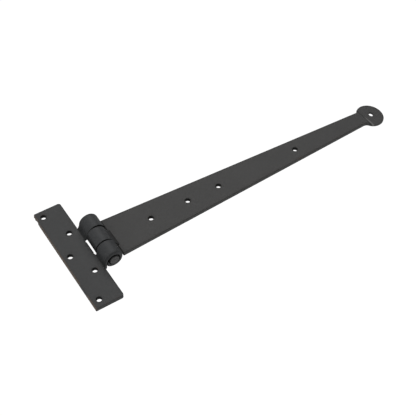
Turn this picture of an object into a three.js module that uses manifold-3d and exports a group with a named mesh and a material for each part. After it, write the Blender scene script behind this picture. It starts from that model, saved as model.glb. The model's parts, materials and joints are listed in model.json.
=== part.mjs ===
// Penny-end T hinge: a fixing plate, a long tapering strap and the pin that joins them.
//
// Millimetres, +Z up. The origin is the middle of the fixing plate's back face, the face that is
// screwed to the door frame. +X runs along the strap to its penny end, +Y runs along the hinge pin,
// and +Z points away from the door. Both leaves lie with their backs in the plane z = 0.

import * as THREE from 'three';
import { mergeVertices } from 'three/addons/utils/BufferGeometryUtils.js';
import Module from 'manifold-3d';

const wasm = await Module();
wasm.setup();

// ---------------------------------------------------------------- driving dimensions

const THICKNESS = 5;               // both leaves are bent from 5 mm flat bar
const HOLE_RADIUS = 3.2;           // plain screw holes, 6.4 mm
const PLATE = { length: 155, width: 34.6, corner: 3 };
const PLATE_HOLES = { outerX: -8.4, innerX: 6.1, endY: 67.8, innerY: 31 };

const BARREL_RADIUS = 11.6;        // outside of the rolled knuckles
const PIN_RADIUS = 6;
const PIN_CHAMFER = 0.8;
const PIN_DOME = 0.4;              // how far the middle of each end stands out
const PIN_PROUD = 1.4;             // how far it stands out of the barrel at either end
const LOWER_KNUCKLE = 20.3;        // lengths along the pin
const MIDDLE_KNUCKLE = 22.4;
const UPPER_KNUCKLE = 21.9;
const KNUCKLE_GAP = 0.7;           // between two neighbouring knuckles
const MIDDLE_SHIFT = -2.3;         // the middle knuckle sits a little off the middle of the strap

const EDGE_TO_PIN = 12.4;          // plate's inner edge to the pin's axis
const SHOULDER_TO_PIN = 14.5;      // strap's shoulders to the pin's axis

// How each leaf's tabs are rolled. A tab starts to rise at `foot` from the pin's axis, in a bend of
// inside radius `bend`. The roll's tip stops at `rollEnd` degrees, just short of the rising tab.
// `relief` is the notch beside the tab, which keeps the bend from tearing the bar.
const PLATE_TABS = { foot: 13.9, bend: 0.8, rollEnd: 227, relief: 1, reliefRadius: 0.45 };
const STRAP_TAB = { foot: 17.6, bend: 2.4, rollEnd: 213, relief: 0.8, reliefRadius: 0.38 };

const STRAP_HALF_WIDTH = 27.8;     // at the shoulders
const NECK_HALF_WIDTH = 10.5;      // where the penny begins
const STRAP_HOLES = [66.3, 116.3, 159.5, 273];   // distances from the pin's axis
const NECK = 378;                  // end of the taper, from the pin's axis
const PENNY = { x: 392.6, y: -0.6, radiusX: 16.7, radiusY: 19.1, thickness: 2.2 };

// How the strap's edges run into the penny's: each leaves its taper `fillet` short of `corner`, a
// distance from the pin's axis, and meets the penny's edge at `angle` degrees round its middle.
const PENNY_JOIN = {
  lower: { corner: 378, fillet: 7, angle: -128 },
  upper: { corner: 379, fillet: 3, angle: 126 },
};
const PENNY_STEP = { start: 381.2, end: 384.4 }; // the bar slopes down to the penny between these
const PENNY_HOLE = { x: 394.7, radiusX: 2.8, radiusY: 3.6 };

const CURVE_SEGMENTS = 24;
const PIN_SEGMENTS = 64;

// ---------------------------------------------------------------- worked out from them

const PIN_X = PLATE.width / 2 + EDGE_TO_PIN;
const PIN_Z = BARREL_RADIUS;       // the barrel's underside is flush with the leaves' backs
const EYE_RADIUS = BARREL_RADIUS - THICKNESS;
const MIDDLE = {
  low: MIDDLE_SHIFT - MIDDLE_KNUCKLE / 2,
  high: MIDDLE_SHIFT + MIDDLE_KNUCKLE / 2,
};
const LOWER = {
  low: MIDDLE.low - KNUCKLE_GAP - LOWER_KNUCKLE,
  high: MIDDLE.low - KNUCKLE_GAP,
};
const UPPER = {
  low: MIDDLE.high + KNUCKLE_GAP,
  high: MIDDLE.high + KNUCKLE_GAP + UPPER_KNUCKLE,
};

// ---------------------------------------------------------------- solids

// A closed three.js geometry as a manifold solid.
function solid(geometry) {
  const shared = geometry.clone();
  shared.deleteAttribute('normal');
  shared.deleteAttribute('uv');
  const merged = mergeVertices(shared, 1e-4);
  const mesh = new wasm.Mesh({
    numProp: 3,
    vertProperties: new Float32Array(merged.attributes.position.array),
    triVerts: new Uint32Array(merged.index.array),
  });
  return new wasm.Manifold(mesh);
}

// A manifold solid as a three.js geometry.
function toGeometry(manifold) {
  const { vertProperties, triVerts } = manifold.getMesh();
  const geometry = new THREE.BufferGeometry();
  geometry.setAttribute('position', new THREE.BufferAttribute(new Float32Array(vertProperties), 3));
  geometry.setIndex(new THREE.BufferAttribute(new Uint32Array(triVerts), 1));
  geometry.computeVertexNormals();
  return geometry;
}

// A flat outline in X and Y, raised from z = low to z = high.
function slab(outline, low, high) {
  const geometry = new THREE.ExtrudeGeometry(outline, {
    depth: high - low,
    bevelEnabled: false,
    curveSegments: CURVE_SEGMENTS,
  });
  geometry.translate(0, 0, low);
  return solid(geometry);
}

// A profile in X and Z, run along Y from y = low to y = high.
function runAlongPin(profile, low, high) {
  const geometry = new THREE.ExtrudeGeometry(profile, {
    depth: high - low,
    bevelEnabled: false,
    curveSegments: CURVE_SEGMENTS,
  });
  geometry.rotateX(Math.PI / 2);
  geometry.translate(0, high, 0);
  return solid(geometry);
}

function addHole(outline, x, y, radiusX = HOLE_RADIUS, radiusY = HOLE_RADIUS) {
  const hole = new THREE.Path();
  hole.absellipse(x, y, radiusX, radiusY, 0, 2 * Math.PI, true);
  outline.holes.push(hole);
}

// ---------------------------------------------------------------- rolled knuckle

// The profile of a tab that bends up from its leaf, runs over the top of the pin and down its far side,
// passes under it and stops with a narrow seam beside the rising tab. side is -1 for a leaf on the
// pin's -X side and +1 for one on its +X side. The profile starts a little way inside the leaf.
function rollProfile({ foot, bend, rollEnd }, side) {
  const inLeaf = foot + 2;
  const climb = PIN_Z - THICKNESS - bend;
  const slope = Math.atan2(climb, foot) + Math.asin((BARREL_RADIUS + bend) / Math.hypot(foot, climb));
  const touch = slope + Math.PI / 2;
  const outerBend = bend + THICKNESS;
  const endAngle = THREE.MathUtils.degToRad(rollEnd) - 2 * Math.PI;

  // Drawn for a leaf on the -X side, about the pin's axis in X.
  const points = [
    ...arc(0, PIN_Z, BARREL_RADIUS, touch, endAngle, 64),
    ...arc(0, PIN_Z, EYE_RADIUS, endAngle, touch, 64),
    ...arc(-foot, outerBend, outerBend, slope - Math.PI / 2, -Math.PI / 2, 8),
    [-inLeaf, 0],
    [-inLeaf, THICKNESS],
    ...arc(-foot, outerBend, bend, -Math.PI / 2, slope - Math.PI / 2, 6),
  ];
  const profile = points.map(([x, z]) => new THREE.Vector2(PIN_X - side * x, z));
  return new THREE.Shape(profile);
}

// Points along an arc from one angle to another, both ends included.
function arc(centreX, centreZ, radius, from, to, steps) {
  return Array.from({ length: steps + 1 }, (_, step) => {
    const angle = from + ((to - from) * step) / steps;
    return [centreX + radius * Math.cos(angle), centreZ + radius * Math.sin(angle)];
  });
}

// ---------------------------------------------------------------- fixing plate

function fixingPlate() {
  const halfLength = PLATE.length / 2;
  const inner = PLATE.width / 2;
  const outer = -inner;
  const recess = PIN_X - PLATE_TABS.foot;
  const low = LOWER.low - PLATE_TABS.relief;
  const high = UPPER.high + PLATE_TABS.relief;
  const r = PLATE_TABS.reliefRadius;
  const c = PLATE.corner;

  // The inner edge steps back between the two ends of the barrel, to the foot of the tabs.
  const outline = new THREE.Shape();
  outline.moveTo(outer, -halfLength);
  outline.lineTo(inner - c, -halfLength);
  outline.absarc(inner - c, -halfLength + c, c, -Math.PI / 2, 0, false);
  outline.lineTo(inner, low);
  outline.lineTo(recess + r, low);
  outline.absarc(recess + r, low + r, r, -Math.PI / 2, Math.PI, true);
  outline.lineTo(recess, high - r);
  outline.absarc(recess + r, high - r, r, Math.PI, Math.PI / 2, true);
  outline.lineTo(inner, high);
  outline.lineTo(inner, halfLength - c);
  outline.absarc(inner - c, halfLength - c, c, 0, Math.PI / 2, false);
  outline.lineTo(outer, halfLength);
  outline.closePath();

  const { outerX, innerX, endY, innerY } = PLATE_HOLES;
  for (const y of [-endY, 0, endY]) addHole(outline, outerX, y);
  for (const y of [-innerY, innerY]) addHole(outline, innerX, y);

  const profile = rollProfile(PLATE_TABS, -1);
  return slab(outline, 0, THICKNESS)
    .add(runAlongPin(profile, LOWER.low, LOWER.high))
    .add(runAlongPin(profile, UPPER.low, UPPER.high));
}

// ---------------------------------------------------------------- strap

function strap() {
  const shoulder = PIN_X + SHOULDER_TO_PIN;
  const recess = PIN_X + STRAP_TAB.foot;
  const low = MIDDLE.low - STRAP_TAB.relief;
  const high = MIDDLE.high + STRAP_TAB.relief;
  const r = STRAP_TAB.reliefRadius;
  const neck = PIN_X + NECK;
  const taper = (STRAP_HALF_WIDTH - NECK_HALF_WIDTH) / (neck - shoulder);
  const pennyX = PIN_X + PENNY.x;
  const lowerJoin = THREE.MathUtils.degToRad(PENNY_JOIN.lower.angle);
  const upperJoin = THREE.MathUtils.degToRad(PENNY_JOIN.upper.angle);
  const joinX = pennyX + PENNY.radiusX * Math.cos(lowerJoin);
  const joinY = PENNY.y + PENNY.radiusY * Math.sin(lowerJoin);
  const halfWidth = (x) => NECK_HALF_WIDTH + taper * (neck - x);
  const lowerCorner = PIN_X + PENNY_JOIN.lower.corner;
  const upperCorner = PIN_X + PENNY_JOIN.upper.corner;
  const lowerTaperEnd = lowerCorner - PENNY_JOIN.lower.fillet;
  const upperTaperEnd = upperCorner - PENNY_JOIN.upper.fillet;

  // Round the outline from the lower shoulder: lower edge, penny, upper edge, then the shoulders,
  // which step back between the outer knuckles to the foot of the tongue.
  const outline = new THREE.Shape();
  outline.moveTo(shoulder, -STRAP_HALF_WIDTH);
  outline.lineTo(lowerTaperEnd, -halfWidth(lowerTaperEnd));
  outline.quadraticCurveTo(lowerCorner, -halfWidth(lowerCorner), joinX, joinY);
  outline.absellipse(pennyX, PENNY.y, PENNY.radiusX, PENNY.radiusY, lowerJoin, upperJoin, false);
  outline.quadraticCurveTo(upperCorner, halfWidth(upperCorner), upperTaperEnd, halfWidth(upperTaperEnd));
  outline.lineTo(shoulder, STRAP_HALF_WIDTH);
  outline.lineTo(shoulder, high);
  outline.lineTo(recess - r, high);
  outline.absarc(recess - r, high - r, r, Math.PI / 2, 0, true);
  outline.lineTo(recess, low + r);
  outline.absarc(recess - r, low + r, r, 0, -Math.PI / 2, true);
  outline.lineTo(shoulder, low);
  outline.closePath();

  for (const distance of STRAP_HOLES) addHole(outline, PIN_X + distance, 0);
  addHole(outline, PIN_X + PENNY_HOLE.x, 0, PENNY_HOLE.radiusX, PENNY_HOLE.radiusY);

  return slab(outline, 0, THICKNESS)
    .subtract(aboveThePenny())
    .add(runAlongPin(rollProfile(STRAP_TAB, 1), MIDDLE.low, MIDDLE.high));
}

// What the smith forged away: all that is above the slope and the thin penny.
function aboveThePenny() {
  const clear = 1;
  const tip = PIN_X + PENNY.x + PENNY.radiusX + clear;
  const profile = new THREE.Shape([
    new THREE.Vector2(PIN_X + PENNY_STEP.start, THICKNESS),
    new THREE.Vector2(PIN_X + PENNY_STEP.end, PENNY.thickness),
    new THREE.Vector2(tip, PENNY.thickness),
    new THREE.Vector2(tip, THICKNESS + clear),
    new THREE.Vector2(PIN_X + PENNY_STEP.start, THICKNESS + clear),
  ]);
  return runAlongPin(profile, PENNY.y - PENNY.radiusY - clear, PENNY.y + PENNY.radiusY + clear);
}

// ---------------------------------------------------------------- hinge pin

// A plain round bar with chamfered, slightly domed ends, standing a little proud of both outer knuckles.
function hingePin() {
  const low = LOWER.low - PIN_PROUD;
  const high = UPPER.high + PIN_PROUD;
  const face = PIN_RADIUS - PIN_CHAMFER;
  const profile = [
    [0, low],
    [face, low + PIN_DOME],
    [PIN_RADIUS, low + PIN_DOME + PIN_CHAMFER],
    [PIN_RADIUS, high - PIN_DOME - PIN_CHAMFER],
    [face, high - PIN_DOME],
    [0, high],
  ];
  const points = profile.map(([radius, y]) => new THREE.Vector2(radius, y));
  return new THREE.LatheGeometry(points, PIN_SEGMENTS);
}

// ---------------------------------------------------------------- assembly

const leafBlack = { color: 0x464745, roughness: 0.55, metalness: 0.6 };
const pinBlack = { color: 0x484848, roughness: 0.6, metalness: 0.6 };

function addMesh(parent, name, geometry, finish) {
  const mesh = new THREE.Mesh(geometry, new THREE.MeshStandardMaterial(finish));
  mesh.name = name;
  parent.add(mesh);
  return mesh;
}

const hinge = new THREE.Group();
hinge.name = 'penny_end_t_hinge';
addMesh(hinge, 'fixing_plate', toGeometry(fixingPlate()), leafBlack);
addMesh(hinge, 'strap', toGeometry(strap()), leafBlack);
addMesh(hinge, 'hinge_pin', hingePin(), pinBlack).position.set(PIN_X, 0, PIN_Z);

export default hinge;
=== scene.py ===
# Penny-end tee hinge in satin black iron: a fixing plate, a long tapering strap and the pin between
# them. Each leaf is made as a smith makes it. A flat blank with eased edges is cut to its outline, and
# then its tabs are bent up at the foot and rolled round the pin.
#
# Lengths are in millimetres until a mesh is written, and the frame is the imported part's: +X along the
# strap, +Y along the pin, +Z away from the door, backs of both leaves in z = 0.

import json
import math

import bmesh
import bpy
import numpy as np
from mathutils import Matrix, Vector, noise
from mathutils.geometry import delaunay_2d_cdt


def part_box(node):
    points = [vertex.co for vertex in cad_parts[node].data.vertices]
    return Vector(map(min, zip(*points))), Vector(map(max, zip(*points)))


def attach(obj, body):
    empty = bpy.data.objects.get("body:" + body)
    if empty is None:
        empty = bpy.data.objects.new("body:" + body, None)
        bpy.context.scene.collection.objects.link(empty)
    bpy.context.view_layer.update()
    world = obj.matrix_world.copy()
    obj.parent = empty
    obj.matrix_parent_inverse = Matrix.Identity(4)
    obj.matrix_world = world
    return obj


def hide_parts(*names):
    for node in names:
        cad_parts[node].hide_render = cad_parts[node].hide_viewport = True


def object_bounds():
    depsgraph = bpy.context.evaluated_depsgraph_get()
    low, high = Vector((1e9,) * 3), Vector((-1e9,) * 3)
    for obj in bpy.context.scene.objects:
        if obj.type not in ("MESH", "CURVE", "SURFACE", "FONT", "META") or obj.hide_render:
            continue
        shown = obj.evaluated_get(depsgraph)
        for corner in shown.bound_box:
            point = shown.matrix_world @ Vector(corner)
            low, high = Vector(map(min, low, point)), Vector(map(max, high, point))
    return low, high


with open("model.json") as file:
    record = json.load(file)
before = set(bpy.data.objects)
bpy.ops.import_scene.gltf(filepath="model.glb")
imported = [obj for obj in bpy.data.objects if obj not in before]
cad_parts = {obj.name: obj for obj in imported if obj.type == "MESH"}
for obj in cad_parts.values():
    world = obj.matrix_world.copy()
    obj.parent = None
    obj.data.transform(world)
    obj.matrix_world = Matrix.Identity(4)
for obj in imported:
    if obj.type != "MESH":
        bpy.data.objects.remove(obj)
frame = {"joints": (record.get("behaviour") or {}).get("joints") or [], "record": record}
cad_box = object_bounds()

# ---------------------------------------------------------------- places that the frame gives

MM = 0.001
PIN_X, _, PIN_Z = (value / MM for value in frame["joints"][0]["pos_m"])
PLATE_LOW, PLATE_HIGH = (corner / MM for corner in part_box("fixing_plate"))
SHOULDER_HALF = (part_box("strap")[1] / MM).y    # the strap is widest at its shoulders
PIN_LOW, PIN_HIGH = (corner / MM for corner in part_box("hinge_pin"))
OPENINGS = {
    opening["name"]: (Vector(opening["box_m"][0]) + Vector(opening["box_m"][1])) / 2 / MM
    for opening in frame["record"]["physics"]["openings"]
}

# ---------------------------------------------------------------- driving dimensions

THICKNESS = 5.0                    # both leaves are flat bar
TAB_THICKNESS = 3.6                # drawn down where a tab rises, to make room for the roll's tip
HOLE_RADIUS = 3.2
BARREL_RADIUS = PIN_Z              # the barrel's underside is flush with the leaves' backs
EYE_RADIUS = BARREL_RADIUS - THICKNESS
SEAM = 0.5                         # gap between a roll's tip and its own tab
PIN_RADIUS = (PIN_HIGH.x - PIN_LOW.x) / 2

PIN_PROUD = 1.4
LOWER_KNUCKLE = 20.3               # lengths along the pin
MIDDLE_KNUCKLE = 22.4
KNUCKLE_GAP = 0.7
BARREL = (PIN_LOW.y + PIN_PROUD, PIN_HIGH.y - PIN_PROUD)
BARREL_MIDDLE = (BARREL[0] + BARREL[1]) / 2
LOWER = (BARREL[0], BARREL[0] + LOWER_KNUCKLE)
MIDDLE = (LOWER[1] + KNUCKLE_GAP, LOWER[1] + KNUCKLE_GAP + MIDDLE_KNUCKLE)
UPPER = (MIDDLE[1] + KNUCKLE_GAP, BARREL[1])

PLATE_CORNER = {"inner": 3.2, "outer": 0.9}
PLATE_FOOT = 13.9                  # where the tabs start to rise, from the pin's axis
PLATE_BEND = 0.8                   # inside radius of the bend at the foot
PLATE_RELIEF = {"width": 1.0, "radius": 0.45}
# The slot for the middle knuckle is cut by eye: it sits a little high, so it eats into the upper tab,
# from a short ledge, and leaves a little web beside the lower one.
SLOT = {"side": 13.0, "low": -9.8, "high": 13.5, "lower_length": 4.0, "upper_length": 6.0,
        "ledge": 1.0}
SLOT_RADIUS = {"tabs": 1.2, "ledge": 0.4, "high": 0.72, "low": 0.96}

SHOULDER = 14.5                    # strap's shoulders to the pin's axis
STRAP_FOOT = 17.6
STRAP_BEND = 2.4
STRAP_RELIEF = {"width": 0.8, "length": 1.3, "radius": 0.38}
NECK = {"lower": 378.0, "upper": 379.3}      # ends of the taper's two edges, from the pin's axis
NECK_HALF = 10.5
PENNY = {"x": 392.6, "y": -0.6, "along": 16.7, "across": 19.1, "thickness": 2.2}
PENNY_RIM = (-128, 126)            # degrees between which the penny's edge is free of the strap
PENNY_FILLETS = {"lower": 7.0, "upper": 2.0}
PENNY_STEP = {"start": 381.2, "end": 384.4}
PENNY_HOLE = {"along": 2.5, "across": 3.3}

# Rounding of the edges: sheared edges, back edges, and the hammered ends of the knuckles.
FACE_EASE = 0.55
BACK_EASE = 0.4
BACK_SHARE = 0.4                   # how much of a knuckle's extra rounding its back edge has
JOINT_EASE = 0.5
LOWER_END_EASE = 2.3
UPPER_END_EASE = 3.1
END_REACH = (5, 1)                 # distances from the barrel's end over which its rounding grows
KNUCKLE_EASE_RUN = (2.5, 9)        # distances past the foot over which a knuckle's rounding grows
ROLLED_RUN = (4, 9)                # and over which a tab starts to look and behave as a knuckle
TIP_CORNER = {"joint": 1.5, "lower_end": 2.7, "upper_end": 3.5}
CONVEX_CORNER = 0.8                # always more than the easing beside it

# What hand rolling leaves uneven: the barrel is a little out of square with the plate, the middle knuckle
# bulges away from its strap, the pin's lower end leans away from the seam, and the joints gape at the
# strap's side and nearly close at the other. A "turn" is a range of cosines, round the pin.
SKEW = 0.022
BULGE = 0.9
PIN_LEAN = {"by": 0.5, "reach": (2, 9)}
GAPE = {"narrow": 0.36, "wide": 1.25, "towards": math.radians(50), "turn": (0.2, 0.9), "reach": 5.0}

# Hollows and fine dents of hot-worked bar: their size, and their depth on a knuckle and on the flat.
HOLLOWS = {"size": 22, "knuckle": 0.10, "flat": 0.05}
DENTS = {"size": 7, "knuckle": 0.06, "flat": 0.02}
ABOVE_BACK = (1, 2)                # heights over which they set in, so that the backs stay flat

# The pin's ends were dressed with a hammer, and the sheared outer edge of the plate is bruised near its
# upper end.
HAMMERED = {"reach": 1.2, "depth": 0.42, "size": 2.4}
BRUISE = {"depth": 1.1, "from_end": (24, 8), "width": 3, "size": 4.5, "patches": (0.3, 0.7)}

# Where the black is rubbed thin along the plate's outer edge, and where a highlight is painted at the foot
# of the penny's step. The step's painted highlight, like its painted shade, has "amount" at the strap's
# upper side, and "more" besides at its lower one.
RUBBED_EDGE = {"inset": (1.4, 0.3), "size": 16, "patches": (0.3, 0.6)}
STEP_HIGHLIGHT = {"from": (1.5, 2.4), "to": (3.8, 5), "amount": 0.1, "more": 0.9}

# Where shade is painted dark: in the joints, the eyes, the slot, behind the shoulders, in the crease and
# along the penny's step. The ranges are distances over which it comes or goes, apart from the turn.
JOINT_SHADE = (0.15, 0.55)         # from a knuckle's end
EYE_SHADE = (0.4, 1.0)             # from the eye's wall
SLOT_SHADE = {"turn": (0.76, 0.97), "amount": 0.7}
SHOULDER_SHADE = (0.3, 0.9)        # from the strap's shoulders
CREASE_SHADE = {"from": (0, 1.5), "to": (3, 6), "amount": 0.65}
STEP_SHADE = {"from": (-0.8, -0.1), "to": (0.9, 1.6), "amount": 0.12, "more": 0.4}
LOWER_SIDE = (-4, 10)              # distances below the strap's middle over which "more" comes in

# Mesh spacing.
FLAT_STEP = 1.6
TAB_STEP = 0.65
FACE_GRID = 2.2
STEP_GRID = (0.7, 0.6 * FACE_GRID)
STEP_MARGINS = (1.4, 2.1)          # how far that finer grid runs past the penny's step
TAB_GRID = 1.7
ARC_STEP = 0.45
EASE_STEPS = 4
HOLE_STEPS = 40
BESIDE_EDGE = 0.9                  # first row of a face's points, from its rim
CLEAR = {"beside_edge": 0.6, "step": 0.5, "tab": 0.4, "grid": 1.2}   # least distances between points
EDGE_FADE = 1.6                    # how far the look of an edge runs into a face


# ---------------------------------------------------------------- outlines

def arc(centre, radii, start, end, step=ARC_STEP):
    """Points of an elliptical arc between two angles in degrees, both ends included."""
    sweep = math.radians(end - start)
    steps = max(3, math.ceil(abs(sweep) * max(radii) / step))
    angles = [math.radians(start) + sweep * index / steps for index in range(steps + 1)]
    return [(centre[0] + radii[0] * math.cos(a), centre[1] + radii[1] * math.sin(a)) for a in angles]


def rounded(corners):
    """A closed outline from corners, each (t, y) or (t, y, radius), with arcs at the corners."""
    points = []
    for index, corner in enumerate(corners):
        here = Vector(corner[:2])
        if len(corner) == 2:
            points.append(here)
            continue
        radius = corner[2]
        arriving = (here - Vector(corners[index - 1][:2])).normalized()
        leaving = (Vector(corners[(index + 1) % len(corners)][:2]) - here).normalized()
        turn = math.atan2(arriving.cross(leaving), arriving.dot(leaving))
        setback = arriving * radius * math.tan(abs(turn) / 2)
        to_centre = Vector((-arriving.y, arriving.x)) * math.copysign(radius, turn)
        centre = here - setback + to_centre
        start = math.degrees(math.atan2(-to_centre.y, -to_centre.x))
        points += [Vector(p) for p in arc(centre, (radius, radius), start, start + math.degrees(turn))]
    return points


def spaced(points, foot):
    """The same outline with its sides cut into equal steps, finer where it is to be rolled."""
    found = []
    for here, following in zip(points, points[1:] + points[:1]):
        length = (following - here).length
        if length < 1e-6:
            continue
        step = TAB_STEP if (here.x + following.x) / 2 < foot + TAB_STEP else FLAT_STEP
        count = max(1, round(length / step))
        found += [here.lerp(following, part / count) for part in range(count)]
    return np.array([tuple(p) for p in found])


def hole(centre, along=HOLE_RADIUS, across=HOLE_RADIUS):
    """A hole, walked clockwise so that the iron lies to its left."""
    angles = -np.arange(HOLE_STEPS) * 2 * math.pi / HOLE_STEPS
    return np.stack([centre[0] + along * np.cos(angles), centre[1] + across * np.sin(angles)], 1)


def screw_holes(leaf_name, side):
    """The screw holes of a leaf that lies on this side of the pin, from the stated openings."""
    return [hole(((place.x - PIN_X) * side, place.y))
            for name, place in OPENINGS.items() if name.startswith(leaf_name)]


def inward(loop):
    """For each point of a loop, the direction into the iron, long enough to keep an offset even."""
    def left(direction):
        turned = np.stack([-direction[:, 1], direction[:, 0]], 1)
        return turned / np.linalg.norm(turned, axis=1, keepdims=True)

    before = left(loop - np.roll(loop, 1, 0))
    after = left(np.roll(loop, -1, 0) - loop)
    middle = before + after
    middle /= np.linalg.norm(middle, axis=1, keepdims=True)
    least_cosine = 0.5
    return middle / np.maximum(least_cosine, (middle * before).sum(1, keepdims=True))


def inside(points, loops):
    """Which points lie in the iron, by counting the edges to one side of each."""
    crossings = np.zeros(len(points), int)
    for loop in loops:
        for (ax, ay), (bx, by) in zip(loop, np.roll(loop, -1, 0)):
            if ay == by:
                continue
            spans = (points[:, 1] >= min(ay, by)) & (points[:, 1] < max(ay, by))
            reach = ax + (points[:, 1] - ay) * (bx - ax) / (by - ay)
            crossings += spans & (points[:, 0] < reach)
    return crossings % 2 == 1


def nearest(points, others):
    """The distance from each point to the nearest of the others, worked out in blocks to save memory."""
    block_size = 1500
    found = [np.linalg.norm(block[:, None] - others[None], axis=2).min(1)
             for block in np.array_split(points, len(points) // block_size + 1)]
    return np.concatenate(found)


def smooth(value, low, high):
    """0 up to low, 1 from high, and an S-curve between."""
    part = np.clip((value - low) / (high - low), 0, 1)
    return part * part * (3 - 2 * part)


def between(value, band):
    """1 inside a band, and 0 outside it, with the two ranges over which it comes and goes."""
    return smooth(value, *band["from"]) * (1 - smooth(value, *band["to"]))


def wobble(x, y, z, size, seed):
    """Smooth noise from 0 to 1 at each point, with features of about `size` millimetres."""
    offset = Vector((seed * 17.3, seed * 5.1, seed * 9.7))
    return np.array([0.5 + 0.5 * noise.noise(Vector(p) / size + offset) for p in zip(x, y, z)])


# ---------------------------------------------------------------- the rolled tab

class Roll:
    """How a tab leaves its leaf: a bend at the foot, a straight rise, and a roll round the pin.

    A point of the flat blank is (t, y, w): t its distance from the pin's axis before bending, and w its
    height above the back. The leaf is taken to lie on the axis's -X side, and u runs along X from the
    axis. The roll passes over the pin, down its far side and under it, back to the tab."""

    def __init__(self, foot, bend_radius):
        self.foot = foot
        self.bend_radius = bend_radius
        climb = PIN_Z - THICKNESS - bend_radius
        apart = math.hypot(foot, climb)
        self.slope = math.atan2(climb, foot) + math.asin((BARREL_RADIUS + bend_radius) / apart)
        self.touch = self.slope + math.pi / 2      # where the rise meets the barrel, round the axis
        self.bend_length = self.slope * (bend_radius + THICKNESS / 2)
        self.rise = math.sqrt(apart ** 2 - (BARREL_RADIUS + bend_radius) ** 2)
        neutral = EYE_RADIUS + THICKNESS / 2
        self.roll_length = (self.touch - self.end(neutral)) * neutral
        self.tip = foot - self.bend_length - self.rise - self.roll_length

    def end(self, radius):
        """The angle where the roll stops at this radius, so that its tip lies along its own tab."""
        tab_back = BARREL_RADIUS - TAB_THICKNESS - SEAM
        past_touch = np.arccos(np.clip(tab_back / radius, 0, 1))
        least = math.radians(9)
        return self.touch - 2 * math.pi + np.maximum(past_touch, least)

    def rolled(self, run):
        """0 in the leaf, and 1 where the tab has run this far past its foot and into the barrel."""
        return smooth(run, *ROLLED_RUN)

    def place(self, t, w, share):
        """Where points of the blank go, as (u, z). share is 1 in a tab and 0 beside it."""
        run = np.maximum(0, self.foot - t) * share
        flat_u = -np.where(t > self.foot, t, self.foot - (self.foot - t) * (1 - share))
        risen = np.clip(run - self.bend_length, 0, self.rise)
        round_pin = np.maximum(0, run - self.bend_length - self.rise)

        drawn = smooth(run, 0, self.bend_length) * (1 - smooth(round_pin, 0, THICKNESS))
        depth = (THICKNESS - w) * (1 - drawn * (1 - TAB_THICKNESS / THICKNESS))
        angle = np.clip(run / (self.bend_radius + THICKNESS / 2), 0, self.slope)
        u = flat_u + (self.bend_radius + depth) * np.sin(angle) + risen * math.cos(self.slope)
        z = THICKNESS + self.bend_radius - (self.bend_radius + depth) * np.cos(angle)
        z = z + risen * math.sin(self.slope)

        radius = BARREL_RADIUS - depth
        turn = self.touch - round_pin / self.roll_length * (self.touch - self.end(radius))
        u = np.where(round_pin > 0, radius * np.cos(turn), u)
        z = np.where(round_pin > 0, PIN_Z + radius * np.sin(turn), z)
        return u, z


def tab_share(y, ends, blend=1.5):
    """1 between a tab's ends along the pin, falling to 0 beside them."""
    return 1 - smooth(np.maximum(ends[0] - y, y - ends[1]), 0, blend)


# ---------------------------------------------------------------- leaves

def ease_at(t, y, foot, tabs):
    """The rounding of an edge: light round the leaf, more beside a joint, and most at the barrel's ends."""
    barrel_half = (BARREL[1] - BARREL[0]) / 2
    at_end = smooth(np.abs(y - BARREL_MIDDLE), *(barrel_half - reach for reach in END_REACH))
    end_ease = np.where(y > BARREL_MIDDLE, UPPER_END_EASE, LOWER_END_EASE)
    knuckle = JOINT_EASE + (end_ease - JOINT_EASE) * at_end
    on_tab = np.max([tab_share(y, ends, blend=0.5) for ends in tabs], 0)
    on_tab = on_tab * smooth(foot - t, *KNUCKLE_EASE_RUN)
    return FACE_EASE + (knuckle - FACE_EASE) * on_tab


def edge_rings(loop, ease):
    """The rings of points that run round an edge from the back face to the front one, as (t, y, w)."""
    into = inward(loop)
    back = BACK_EASE + BACK_SHARE * (ease - FACE_EASE)
    flush = np.zeros(len(loop))
    quarter = [math.radians(90 * step / EASE_STEPS) for step in range(EASE_STEPS + 1)]
    rings = [(back * (1 - math.cos(a)), back * (1 - math.sin(a))) for a in reversed(quarter)]
    rings += [(flush, back + (THICKNESS - ease - back) * part) for part in (1 / 3, 2 / 3)]
    rings += [(ease * (1 - math.cos(a)), THICKNESS - ease * (1 - math.sin(a))) for a in quarter]
    return [np.column_stack([loop + into * inset[:, None], height]) for inset, height in rings]


def face_points(loops, rims, tabs, roll, fine):
    """Points inside a leaf's face: a row along every edge, finer rows along the tabs and between the two
    values of t in fine, and a grid."""
    low, high = loops[0].min(0), loops[0].max(0)
    beside_edges = np.concatenate([rim + inward(rim) * BESIDE_EDGE for rim in rims])
    grid = np.stack(np.meshgrid(
        np.arange(roll.foot + FACE_GRID / 2, high[0], FACE_GRID),
        np.arange(low[1] + FACE_GRID / 2, high[1], FACE_GRID),
    ), -1).reshape(-1, 2)
    rows = np.linspace(roll.tip, roll.foot, round((roll.foot - roll.tip) / TAB_STEP))
    tab_grids = [
        np.stack(np.meshgrid(rows, np.linspace(*ends, round((ends[1] - ends[0]) / TAB_GRID))), -1)
        for ends in tabs
    ]
    fine_grid = np.stack(np.meshgrid(
        np.arange(*fine, STEP_GRID[0]),
        np.arange(low[1] + FACE_GRID / 2, high[1], STEP_GRID[1]),
    ), -1).reshape(-1, 2)
    found = np.concatenate(rims)
    rim_count = len(found)
    for points, clear in (
        (beside_edges, CLEAR["beside_edge"]),
        (fine_grid, CLEAR["step"]),
        *((tab.reshape(-1, 2), CLEAR["tab"]) for tab in tab_grids),
        (grid, CLEAR["grid"]),
    ):
        points = points[inside(points, rims)]
        found = np.concatenate([found, points[nearest(points, found) > clear]])
    return found[rim_count:]


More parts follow.
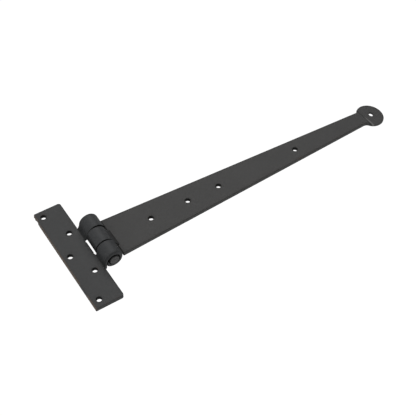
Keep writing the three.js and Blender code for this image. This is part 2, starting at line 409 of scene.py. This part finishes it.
def face_triangles(rims, inner):
    """Triangles that fill a face between its rims and use every inner point, as numbers in the two."""
    flat = np.concatenate([*rims, inner])
    edges = []
    for rim in rims:
        first = len(edges)
        edges += [(first + index, first + (index + 1) % len(rim)) for index in range(len(rim))]
    found = delaunay_2d_cdt([Vector(p) for p in flat], edges, [], 0, 1e-7, True)
    source = [numbers[0] for numbers in found[3]]
    triangles = np.array([[source[vertex] for vertex in triangle] for triangle in found[2]])
    return triangles[inside(flat[triangles].mean(1), rims)]


def leaf(name, loops, tabs, roll, surface, fine=(0, 0)):
    """Builds a leaf from the loops of its blank, the outline first and then the holes.

    surface(t, y, w) gives every point's x, y and z, how much it is rolled, how much painted shade it has,
    and how far the black is rubbed off or painted with a highlight. Between the two values of t in fine,
    the mesh is finer."""
    blank, edge, in_hole, faces = [], [], [], []
    fronts, backs, rims = [], [], []
    count = 0
    for loop in loops:
        rings = edge_rings(loop, ease_at(loop[:, 0], loop[:, 1], roll.foot, tabs))
        numbers = count + np.arange(len(rings) * len(loop)).reshape(len(rings), -1)
        after = np.roll(numbers, -1, 1)
        quads = np.stack([numbers[:-1], after[:-1], after[1:], numbers[1:]], -1)
        faces += quads.reshape(-1, 4).tolist()
        blank += rings
        edge.append(np.ones(numbers.size))
        # A hole's wall is painted dark as shade, and the painted shade fades out over its eased rim.
        below_rim = np.linspace(len(rings) - 1, 0, len(rings)) / EASE_STEPS
        is_hole = loop is not loops[0]
        in_hole.append(np.repeat(np.clip(below_rim, 0, 1) * is_hole, len(loop)))
        fronts.append(numbers[-1])
        backs.append(numbers[0])
        rims.append(rings[-1][:, :2])
        count += numbers.size

    inner = face_points(loops, rims, tabs, roll, fine)
    fade = np.clip(1 - nearest(inner, np.concatenate(rims)) / EDGE_FADE, 0, 1)
    triangles = face_triangles(rims, inner)
    for numbers, height, flip in ((fronts, THICKNESS, 1), (backs, 0.0, -1)):
        numbers = np.concatenate([*numbers, count + np.arange(len(inner))])
        faces += numbers[triangles][:, ::flip].tolist()
        blank.append(np.column_stack([inner, np.full(len(inner), height)]))
        edge.append(fade)
        in_hole.append(np.zeros(len(inner)))
        count += len(inner)

    x, y, z, rolled, shade, rubbed_and_highlight = surface(*np.concatenate(blank).T)
    values = {
        "edge": np.concatenate(edge),
        "rolled": rolled,
        "shade": np.maximum(shade, np.concatenate(in_hole)),
        "rubbed_and_highlight": rubbed_and_highlight,
    }
    return mesh_piece(name, np.stack([x, y, z], 1), faces, values)


def mesh_piece(name, points, faces, point_values):
    """A smooth-shaded piece, with values at each point for the materials to read."""
    mesh = bpy.data.meshes.new(name)
    mesh.from_pydata(points * MM, [], faces)
    for label, values in point_values.items():
        layer = mesh.attributes.new(label, "FLOAT", "POINT")
        layer.data.foreach_set("value", values.astype(np.float32))
    work = bmesh.new()
    work.from_mesh(mesh)
    bmesh.ops.recalc_face_normals(work, faces=work.faces)
    for face in work.faces:
        face.smooth = True
    work.to_mesh(mesh)
    work.free()
    piece = bpy.data.objects.new(name, mesh)
    bpy.context.scene.collection.objects.link(piece)
    weighted = piece.modifiers.new("flat faces stay flat", "WEIGHTED_NORMAL")
    weighted.weight = 80
    return piece


def from_pin(x, z):
    """The distance from the pin's axis, kept off zero."""
    return np.maximum(1, np.hypot(x - PIN_X, z - PIN_Z))


def hand_made(x, y, z, rolled, seed):
    """Slight unevenness of hot-worked bar, kept inside the true size."""
    hollow = wobble(x, y, z, HOLLOWS["size"], seed)
    dent = wobble(x, y, z, DENTS["size"], seed + 4)
    from_pin_x, from_pin_z = x - PIN_X, z - PIN_Z
    radius = from_pin(x, z)
    sink = rolled * (HOLLOWS["knuckle"] * hollow + DENTS["knuckle"] * dent)
    sink = sink * smooth(radius, EYE_RADIUS, BARREL_RADIUS)
    settled = (1 - rolled) * (HOLLOWS["flat"] * hollow + DENTS["flat"] * dent) * smooth(z, *ABOVE_BACK)
    return x - sink * from_pin_x / radius, y, z - sink * from_pin_z / radius - settled


def in_eye(x, z, rolled):
    """Painted shade: 1 inside a knuckle's eye, and 0 from a little way out."""
    return rolled * (1 - smooth(from_pin(x, z) - EYE_RADIUS, *EYE_SHADE))


def skewed(x, y, run, roll):
    """Turns the barrel a little out of square, from the foot of its tab on."""
    return x + SKEW * (y - BARREL_MIDDLE) * smooth(run, 0, roll.bend_length + roll.rise)


def knuckle_end(x, y, z, rolled, end, inward_sign):
    """Moves a knuckle's end at a joint so that the joint gapes, and gives the painted shade of the points
    that lie deep in it.
    """
    from_joint = (y - end) * inward_sign
    towards = GAPE["towards"]
    facing = ((x - PIN_X) * math.cos(towards) + (z - PIN_Z) * math.sin(towards)) / from_pin(x, z)
    gap = GAPE["narrow"] + (GAPE["wide"] - GAPE["narrow"]) * smooth(facing, *GAPE["turn"])
    near = rolled * (1 - smooth(from_joint, 0, GAPE["reach"]))
    # The knuckle's end faces in the joint are painted dark as shade.
    shade = rolled * (1 - smooth(from_joint, *JOINT_SHADE))
    return y + inward_sign * near * (gap - KNUCKLE_GAP) / 2, shade


def fixing_plate():
    """The cross plate, whose two tabs are rolled round the pin as the outer knuckles."""
    roll = Roll(PLATE_FOOT, PLATE_BEND)
    inner, outer = PIN_X + PLATE_LOW.x, PIN_X - PLATE_LOW.x      # the plate is centred on the origin
    low, high = PLATE_LOW.y, PLATE_HIGH.y
    relief, radius = PLATE_RELIEF["width"], PLATE_RELIEF["radius"]
    lower_bend = (LOWER[0], SLOT["low"])
    # In (t, y), with the iron on the left.
    corners = [
        (outer, low, PLATE_CORNER["outer"]),
        (outer, high, PLATE_CORNER["outer"]),
        (inner, high, PLATE_CORNER["inner"]),
        (inner, UPPER[1] + relief, CONVEX_CORNER),
        (PLATE_FOOT, UPPER[1] + relief, radius),
        (PLATE_FOOT, UPPER[1], radius),
        (roll.tip, UPPER[1], TIP_CORNER["upper_end"]),
        (roll.tip, UPPER[0], TIP_CORNER["joint"]),
        (PLATE_FOOT - SLOT["upper_length"], UPPER[0], SLOT_RADIUS["tabs"]),
        (SLOT["side"] - SLOT["ledge"], SLOT["high"], SLOT_RADIUS["ledge"]),
        (SLOT["side"], SLOT["high"], SLOT_RADIUS["high"]),
        (SLOT["side"], SLOT["low"], SLOT_RADIUS["low"]),
        (PLATE_FOOT - SLOT["lower_length"], LOWER[1], SLOT_RADIUS["tabs"]),
        (roll.tip, LOWER[1], TIP_CORNER["joint"]),
        (roll.tip, LOWER[0], TIP_CORNER["lower_end"]),
        (PLATE_FOOT, LOWER[0], radius),
        (PLATE_FOOT, LOWER[0] - relief, radius),
        (inner, LOWER[0] - relief, CONVEX_CORNER),
        (inner, low, PLATE_CORNER["inner"]),
    ]
    outline = spaced(rounded(corners), roll.foot)

    def surface(t, y, w):
        share = np.maximum(tab_share(y, lower_bend), tab_share(y, UPPER))
        run = (roll.foot - t) * share
        u, z = roll.place(t, w, share)
        x = PIN_X + u
        rolled = roll.rolled(run)
        upper = y > BARREL_MIDDLE
        y_low, shade_low = knuckle_end(x, y, z, rolled, LOWER[1], -1)
        y_high, shade_high = knuckle_end(x, y, z, rolled, UPPER[0], 1)
        y = np.where(upper, y_high, y_low)
        shade = np.where(upper, shade_high, shade_low)

        nowhere = np.zeros(len(y))
        along, across = BRUISE["from_end"], BRUISE["width"]
        bruised = smooth(y, high - along[0], high - along[1]) * smooth(t, outer - across, outer)
        bruised = bruised * smooth(wobble(nowhere, y, z * 0.4, BRUISE["size"], 3), *BRUISE["patches"])
        x = skewed(x + BRUISE["depth"] * bruised, y, run, roll)
        shade = np.maximum(shade, in_eye(x, z, rolled))

        rubbed_and_highlight = smooth(t, *(outer - inset for inset in RUBBED_EDGE["inset"])) * (w > THICKNESS / 2)
        patches = wobble(nowhere, y, nowhere, RUBBED_EDGE["size"], 6)
        rubbed_and_highlight = rubbed_and_highlight * smooth(patches, *RUBBED_EDGE["patches"])
        return *hand_made(x, y, z, rolled, 1), rolled, shade, rubbed_and_highlight

    return leaf("fixing_plate_forged", [outline, *screw_holes("plate_", -1)], [LOWER, UPPER], roll, surface)


def strap():
    """The long strap, from the tongue that is rolled as the middle knuckle to the thin penny end."""
    roll = Roll(STRAP_FOOT, STRAP_BEND)
    relief, radius = STRAP_RELIEF["width"], STRAP_RELIEF["radius"]
    relief_end = SHOULDER + STRAP_RELIEF["length"]
    penny_rim = arc((PENNY["x"], PENNY["y"]), (PENNY["along"], PENNY["across"]), *PENNY_RIM, step=1.0)
    # In (t, y), with the iron on the left.
    corners = [
        (SHOULDER, -SHOULDER_HALF, CONVEX_CORNER),
        (NECK["lower"], -NECK_HALF, PENNY_FILLETS["lower"]),
        *penny_rim,
        (NECK["upper"], NECK_HALF, PENNY_FILLETS["upper"]),
        (SHOULDER, SHOULDER_HALF, CONVEX_CORNER),
        (SHOULDER, MIDDLE[1] + relief, CONVEX_CORNER),
        (relief_end, MIDDLE[1] + relief, radius),
        (relief_end, MIDDLE[1], radius),
        (roll.tip, MIDDLE[1], TIP_CORNER["joint"]),
        (roll.tip, MIDDLE[0], TIP_CORNER["joint"]),
        (relief_end, MIDDLE[0], radius),
        (relief_end, MIDDLE[0] - relief, radius),
        (SHOULDER, MIDDLE[0] - relief, CONVEX_CORNER),
    ]
    outline = spaced(rounded(corners), roll.foot)
    penny_place = OPENINGS["penny_hole"]
    penny_hole = hole((penny_place.x - PIN_X, penny_place.y), PENNY_HOLE["along"], PENNY_HOLE["across"])

    def surface(t, y, w):
        thinned = smooth(t, PENNY_STEP["start"], PENNY_STEP["end"])
        w = w * (1 - thinned * (1 - PENNY["thickness"] / THICKNESS))
        share = tab_share(y, MIDDLE)
        run = (roll.foot - t) * share
        u, z = roll.place(t, w, share)
        x = PIN_X - u
        rolled = roll.rolled(run)
        y_low, shade_low = knuckle_end(x, y, z, rolled, MIDDLE[0], 1)
        y_high, shade_high = knuckle_end(x, y, z, rolled, MIDDLE[1], -1)
        upper = y > BARREL_MIDDLE
        y = np.where(upper, y_high, y_low)

        # The far side of the roll stands in the plate's slot, where no light reaches, and so do the
        # ends of the strap's shoulders behind the outer knuckles.
        radius = from_pin(x, z)
        in_slot = SLOT_SHADE["amount"] * rolled * smooth((PIN_X - x) / radius, *SLOT_SHADE["turn"])
        at_shoulder = (1 - share) * (1 - smooth(t - SHOULDER, *SHOULDER_SHADE))
        # The crease at the foot of the middle tab is painted dark as shade.
        in_crease = CREASE_SHADE["amount"] * between(run, CREASE_SHADE) * (w > THICKNESS / 2)
        # The step down to the penny: painted shade along its top, and a painted highlight at its foot, both
        # more towards the strap's lower edge.
        lower_side = smooth(-y, *LOWER_SIDE)
        down_step = t - PENNY_STEP["start"]
        on_step, rubbed_and_highlight = (between(down_step, band) * (band["amount"] + band["more"] * lower_side)
                           for band in (STEP_SHADE, STEP_HIGHLIGHT))
        rubbed_and_highlight = rubbed_and_highlight * (w > PENNY["thickness"] / 2)
        shade = np.max([shade_low, shade_high, in_slot, at_shoulder, in_crease, on_step], 0)
        # The eye itself stays true to the pin, so that the strap can swing.
        outside = smooth(radius, EYE_RADIUS, BARREL_RADIUS)
        moved = skewed(x, y, run, roll) - BULGE * rolled
        x = x + (moved - x) * (1 - rolled * (1 - outside))
        return *hand_made(x, y, z, rolled, 2), rolled, shade, rubbed_and_highlight

    loops = [outline, *screw_holes("strap_", 1), penny_hole]
    round_step = (PENNY_STEP["start"] - STEP_MARGINS[0], PENNY_STEP["end"] + STEP_MARGINS[1])
    return leaf("strap_forged", loops, [MIDDLE], roll, surface, fine=round_step)


# ---------------------------------------------------------------- hinge pin

def hinge_pin():
    """A round bar whose ends were dressed with a hammer after it was driven in."""
    segments, shank_rings, shank_from_end = 72, 14, 2.5
    # From the middle of an end outwards: (share of the radius, depth below the end).
    end = [(0.0, 0.0), (0.16, 0.01), (0.32, 0.03), (0.48, 0.06), (0.64, 0.1), (0.78, 0.16), (0.86, 0.26),
           (0.9, 0.4), (0.93, 0.65), (0.95, 1.1), (1.0, 2.2)]
    shank = [(1.0, y) for y in
             np.linspace(PIN_LOW.y + shank_from_end, PIN_HIGH.y - shank_from_end, shank_rings)]
    profile = [(part, PIN_LOW.y + depth) for part, depth in end]
    profile += shank
    profile += [(part, PIN_HIGH.y - depth) for part, depth in reversed(end)]

    angles = np.arange(segments) * 2 * math.pi / segments
    rings = [np.stack([part * PIN_RADIUS * np.cos(angles), np.full(segments, y),
                       part * PIN_RADIUS * np.sin(angles)], 1) for part, y in profile[1:-1]]
    points = np.concatenate([[[0, profile[0][1], 0]], *rings, [[0, profile[-1][1], 0]]])
    numbers = 1 + np.arange(len(rings) * segments).reshape(len(rings), -1)
    after = np.roll(numbers, -1, 1)
    faces = np.stack([numbers[:-1], after[:-1], after[1:], numbers[1:]], -1).reshape(-1, 4).tolist()
    faces += [(0, b, a) for a, b in zip(numbers[0], after[0])]
    faces += [(len(points) - 1, a, b) for a, b in zip(numbers[-1], after[-1])]

    x, y, z = points.T
    radius = np.hypot(x, z)
    near_end = np.minimum(y - PIN_LOW.y, PIN_HIGH.y - y) < HAMMERED["reach"]
    hammered = near_end * (1 - smooth(radius, PIN_RADIUS * 0.8, PIN_RADIUS))
    end_side = np.sign(y)
    y = y - end_side * HAMMERED["depth"] * hammered * wobble(x, end_side, z, HAMMERED["size"], 8)
    edge = near_end * smooth(radius, PIN_RADIUS * 0.8, PIN_RADIUS * 0.9)
    # The lower end leans away from the seam, so that the gap round it is on the seam's side.
    towards_gap = smooth((z - x) / np.maximum(1, radius) / math.sqrt(2), -0.5, 0.4)
    # The pin's side, which shows only in the gap round its ends, is painted dark as shade, most towards its
    # upper -X side.
    shade = smooth(radius, PIN_RADIUS * 0.9, PIN_RADIUS * 0.95) * (0.3 + 0.7 * towards_gap)
    lean = PIN_LEAN["by"] * (1 - smooth(y - PIN_LOW.y, *PIN_LEAN["reach"])) / math.sqrt(2)
    placed = np.stack([x + PIN_X + SKEW * (y - BARREL_MIDDLE) + lean, y, z + PIN_Z - lean], 1)
    nothing = np.zeros(len(points))
    values = {"edge": edge, "rolled": nothing, "shade": shade, "rubbed_and_highlight": nothing}
    return mesh_piece("hinge_pin_dressed", placed, faces, values)


# ---------------------------------------------------------------- materials

class Nodes:
    """A short way to write a material's nodes."""

    def __init__(self, name):
        self.material = bpy.data.materials.new(name)
        self.material.use_nodes = True
        self.tree = self.material.node_tree
        self.tree.nodes.clear()

    def fill(self, socket, value):
        if isinstance(value, bpy.types.NodeSocket):
            self.tree.links.new(value, socket)
        else:
            socket.default_value = value

    def add(self, kind, inputs=None, **settings):
        node = self.tree.nodes.new(kind)
        for key, value in settings.items():
            setattr(node, key, value)
        for key, value in (inputs or {}).items():
            self.fill(node.inputs[key], value)
        return node

    def noise(self, where, scale, detail=3.0, rough=0.55):
        node = self.add("ShaderNodeTexNoise", {"Vector": where, "Scale": scale, "Detail": detail,
                                               "Roughness": rough})
        return node.outputs["Fac"]

    def remap(self, value, low, high, to_low, to_high):
        node = self.add("ShaderNodeMapRange", {"Value": value, "From Min": low, "From Max": high,
                                               "To Min": to_low, "To Max": to_high},
                        interpolation_type="SMOOTHSTEP")
        return node.outputs["Result"]

    def math(self, operation, a, b):
        node = self.add("ShaderNodeMath", operation=operation)
        self.fill(node.inputs[0], a)
        self.fill(node.inputs[1], b)
        return node.outputs[0]

    def mix(self, share, a, b):
        node = self.add("ShaderNodeMix", data_type="RGBA")
        colours = [socket for socket in node.inputs if socket.type == "RGBA"]
        self.fill(node.inputs["Factor"], share)
        self.fill(colours[0], a)
        self.fill(colours[1], b)
        return next(socket for socket in node.outputs if socket.type == "RGBA")

    def attribute(self, name):
        return self.add("ShaderNodeAttribute", attribute_name=name).outputs["Fac"]


def grey(value, warm=0.0):
    """A linear grey, a little warmer or cooler."""
    return (value * (1 + warm), value, value * (1 - warm), 1)


RUST = (0.075, 0.040, 0.024, 1)
BROWNED = (0.120, 0.088, 0.066, 1)
# A painted highlight, for the foot of the penny's step.
PAINTED_HIGHLIGHT = (0.190, 0.187, 0.182, 1)


def black_iron(name, tone, warm, rubbed_and_highlight_colour=PAINTED_HIGHLIGHT, peened=0.0):
    """Satin black over forged iron: patchy tone, fine grain, slightly darker edges, a little brown.

    The colour given for rubbed spots shows where the black is rubbed thin and where a highlight is painted,
    and peened makes the tone and the grain more uneven."""
    n = Nodes(name)
    where = n.add("ShaderNodeTexCoord").outputs["Object"]
    patches = n.noise(where, 38, 3, 0.5)
    mottle = n.noise(where, 420, 4, 0.6)
    grain = n.noise(where, 1500, 2, 0.5)
    edge = n.attribute("edge")
    rolled = n.attribute("rolled")

    colour = n.mix(n.remap(patches, 0.35, 0.65, 0, 1), grey(tone * 0.96, warm), grey(tone * 1.04, warm))
    colour = n.mix(n.remap(mottle, 0.40, 0.70, 0, 0.4 + peened), colour, grey(tone * (1.2 + peened), warm))
    colour = n.mix(n.remap(mottle, 0.50, 0.28, 0, 0.4 + peened), colour, grey(tone * (0.78 - peened), warm))
    # The knuckles are a cooler, patchier grey, a little darker on the whole.
    knuckle_grey = n.mix(n.remap(mottle, 0.35, 0.65, 0, 1), grey(tone * 0.86, -0.06), grey(tone * 1.04, -0.03))
    colour = n.mix(rolled, colour, knuckle_grey)
    edging = n.math("MULTIPLY", edge, n.remap(patches, 0.3, 0.6, 0.35, 0.12))
    colour = n.mix(edging, colour, grey(tone * 0.45, warm))
    brown = n.math("MULTIPLY", edge, n.remap(n.noise(where, 90, 4, 0.6), 0.58, 0.72, 0, 0.3))
    colour = n.mix(brown, colour, RUST)
    # Where the black is rubbed thin, and the painted highlight at the penny's step.
    colour = n.mix(n.attribute("rubbed_and_highlight"), colour, rubbed_and_highlight_colour)
    # Painted shade: the joints, eyes, hole walls, slot, shoulder ends, crease, penny step and the gap round
    # the pin's ends are darkened, at most nearly to black.
    shade = n.attribute("shade")
    colour = n.mix(n.math("MULTIPLY", shade, 0.92), colour, grey(0.003))

    roughness = n.remap(mottle, 0.3, 0.7, 0.5, 0.64)
    roughness = n.math("ADD", roughness, n.math("MULTIPLY", edge, 0.06))
    roughness = n.math("ADD", roughness, n.math("MULTIPLY", shade, 0.3))

    height = n.math("ADD", n.math("MULTIPLY", mottle, 0.6), n.math("MULTIPLY", grain, 0.4))
    bump = n.add("ShaderNodeBump", {"Height": height, "Strength": 0.3 + peened,
                                    "Distance": 0.00012 + 0.0005 * peened})
    shader = n.add("ShaderNodeBsdfPrincipled", {
        "Base Color": colour,
        "Roughness": roughness,
        "Metallic": 0.0,
        "Specular IOR Level": 0.4,
        "Normal": bump.outputs["Normal"],
    })
    n.add("ShaderNodeOutputMaterial", {"Surface": shader.outputs["BSDF"]})
    return n.material


# ---------------------------------------------------------------- the object

for build, material, body, node, slot in (
    (fixing_plate, black_iron("plate_iron", 0.050, -0.01, BROWNED), "plate_body", "fixing_plate",
     "leaf_black"),
    (strap, black_iron("strap_iron", 0.052, 0.02), "strap_body", "strap", "leaf_black"),
    (hinge_pin, black_iron("pin_iron", 0.072, 0.0, peened=0.3), "plate_body", "hinge_pin", "pin_black"),
):
    piece = build()
    piece.data.materials.append(material)
    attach(piece, body)
    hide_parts(node)


# ---------------------------------------------------------------- floor and backdrop

def white_paper():
    """Plain white that lights nothing."""
    n = Nodes("white_paper")
    light = n.add("ShaderNodeEmission", {"Color": (1, 1, 1, 1), "Strength": 1.05})
    n.add("ShaderNodeOutputMaterial", {"Surface": light.outputs["Emission"]})
    return n.material


def stage_piece(name, fill, material):
    """A piece of the stage, which shows to the camera only."""
    mesh = bpy.data.meshes.new(name)
    work = bmesh.new()
    fill(work)
    work.to_mesh(mesh)
    work.free()
    piece = bpy.data.objects.new(name, mesh)
    bpy.context.scene.collection.objects.link(piece)
    mesh.materials.append(material)
    for kind in ("diffuse", "glossy", "transmission", "volume_scatter", "shadow"):
        setattr(piece, "visible_" + kind, False)
    return piece


# From here on, places and sizes are in metres.
FLOOR_DROP = 0.0002
FLOOR_HALF = 3.0
BACKDROP_RADIUS = 6.0
centre = (cad_box[0] + cad_box[1]) / 2
paper = white_paper()
floor = stage_piece("floor", lambda work: bmesh.ops.create_grid(work, size=FLOOR_HALF), paper)
floor.location = (centre.x, centre.y, cad_box[0].z - FLOOR_DROP)
backdrop = stage_piece(
    "backdrop",
    lambda work: bmesh.ops.create_icosphere(work, subdivisions=3, radius=BACKDROP_RADIUS),
    paper,
)
backdrop.location = centre


# ---------------------------------------------------------------- lights

def direction(azimuth, elevation):
    """Towards this azimuth and elevation in degrees. Azimuth 0 is the -Y side and 90 the +X side."""
    a, e = math.radians(azimuth), math.radians(elevation)
    return Vector((math.sin(a) * math.cos(e), -math.cos(a) * math.cos(e), math.sin(e)))


def softbox(name, azimuth, elevation, distance, size, power):
    """A square area light that faces the object."""
    data = bpy.data.lights.new(name, "AREA")
    data.shape = "SQUARE"
    data.size = size
    data.energy = power
    lamp = bpy.data.objects.new(name, data)
    bpy.context.scene.collection.objects.link(lamp)
    away = direction(azimuth, elevation)
    lamp.location = centre + away * distance
    lamp.rotation_euler = away.to_track_quat("Z", "Y").to_euler()


softbox("key", 150, 50, distance=4.0, size=2.6, power=50)
softbox("top", 0, 80, distance=4.0, size=2.6, power=50)
softbox("left", -90, 40, distance=4.0, size=2.6, power=33)
softbox("back_left", -150, 45, distance=4.0, size=2.6, power=11)


def studio_world(below, above):
    """Light from all round: what the pale floor throws up, and a little from the room above it."""
    world = bpy.data.worlds.new("studio")
    world.use_nodes = True
    tree = world.node_tree
    coordinates = tree.nodes.new("ShaderNodeTexCoord")
    split = tree.nodes.new("ShaderNodeSeparateXYZ")
    strength = tree.nodes.new("ShaderNodeMapRange")
    for socket, value in (("From Min", -0.05), ("From Max", 0.05), ("To Min", below), ("To Max", above)):
        strength.inputs[socket].default_value = value
    background = tree.nodes["Background"]
    background.inputs["Color"].default_value = (1, 1, 1, 1)
    tree.links.new(coordinates.outputs["Generated"], split.inputs["Vector"])
    tree.links.new(split.outputs["Z"], strength.inputs["Value"])
    tree.links.new(strength.outputs["Result"], background.inputs["Strength"])
    return world


scene = bpy.context.scene
scene.world = studio_world(below=0.79, above=0.03)
scene.view_settings.view_transform = "Standard"

# ---------------------------------------------------------------- camera

CAMERA = {"azimuth": -33.23, "elevation": 49.52, "roll": 0.555, "distance": 1.0402, "lens": 76.6}
AIM = Vector((0.1621, -0.0191, 0.0))

camera_data = bpy.data.cameras.new("camera")
camera_data.lens = CAMERA["lens"]
camera_data.sensor_width = 36
camera = bpy.data.objects.new("camera", camera_data)
scene.collection.objects.link(camera)
back = direction(CAMERA["azimuth"], CAMERA["elevation"])
camera.location = AIM + back * CAMERA["distance"]
turn = back.to_track_quat("Z", "Y").to_matrix() @ Matrix.Rotation(math.radians(CAMERA["roll"]), 3, "Z")
camera.rotation_euler = turn.to_euler()
scene.camera = camera
